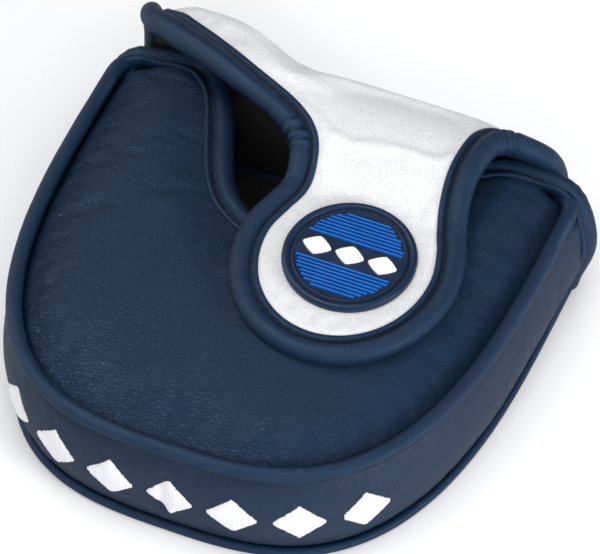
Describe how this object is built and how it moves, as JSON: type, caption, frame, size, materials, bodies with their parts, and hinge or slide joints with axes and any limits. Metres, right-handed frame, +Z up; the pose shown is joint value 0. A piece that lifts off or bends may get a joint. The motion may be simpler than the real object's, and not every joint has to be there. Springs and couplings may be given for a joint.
{
  "type": "putter head cover",
  "caption": "Padded D-shaped pouch for a mallet putter head, open at the rear, closed by a folding flap with a round badge that rests on top.",
  "frame": {"origin": "middle of the flat base, in the plane it rests on", "axes": "+X across the cover, to the right seen from the front, +Y to the mouth at the rear, +Z up"},
  "size_m": [0.1316, 0.1274, 0.048],
  "materials": {
    "navy_leather": "pebbled, satin",
    "navy_binding": "smooth, satin",
    "white_leather": "smooth, satin",
    "foam": "open-cell foam",
    "cord": "twisted",
    "black_plush": "short pile",
    "magnet": "nickel plated",
    "white_thread": "satin stitch",
    "navy_rubber": "moulded, satin",
    "blue_rubber": "moulded, satin",
    "white_rubber": "moulded, satin"
  },
  "bodies": {
    "pouch": {"bottom_panel": "navy_leather", "gusset_panel": "navy_leather", "top_panel": "navy_leather", "bottom_foam": "foam", "gusset_foam": "foam", "top_foam": "foam", "bottom_lining": "black_plush", "gusset_lining": "black_plush", "top_lining": "black_plush", "hinge_tape": "navy_leather", "top_welt": "navy_binding", "bottom_welt": "navy_binding", "rim_binding": "navy_binding", "top_welt_cord": "cord", "bottom_welt_cord": "cord", "rim_binding_cord": "cord", "panel_magnet": "magnet", "wall_embroidery": "white_thread"},
    "flap_base": {"flap_base_panel": "white_leather", "flap_base_foam": "foam", "flap_base_lining": "black_plush", "flap_base_binding": "navy_binding", "flap_base_cord": "cord"},
    "flap_tongue": {"flap_tongue_panel": "white_leather", "flap_tongue_foam": "foam", "flap_tongue_lining": "black_plush", "flap_tongue_binding": "navy_binding", "flap_tongue_cord": "cord", "flap_magnet": "magnet", "badge_body": "navy_rubber", "badge_stripes": "blue_rubber", "badge_emblem": "white_rubber"}
  },
  "joints": [
    {"name": "flap_base_fold", "type": "hinge", "parent": "pouch", "child": "flap_base", "pos_m": [0, 0.0625, 0.002], "axis": [-1, 0, 0], "range_deg": [0, 70]},
    {"name": "flap_tongue_lift", "type": "hinge", "parent": "flap_base", "child": "flap_tongue", "pos_m": [0, 0.06334, 0.04151], "axis": [-1, 0, 0], "range_deg": [0, 105]}
  ]
}
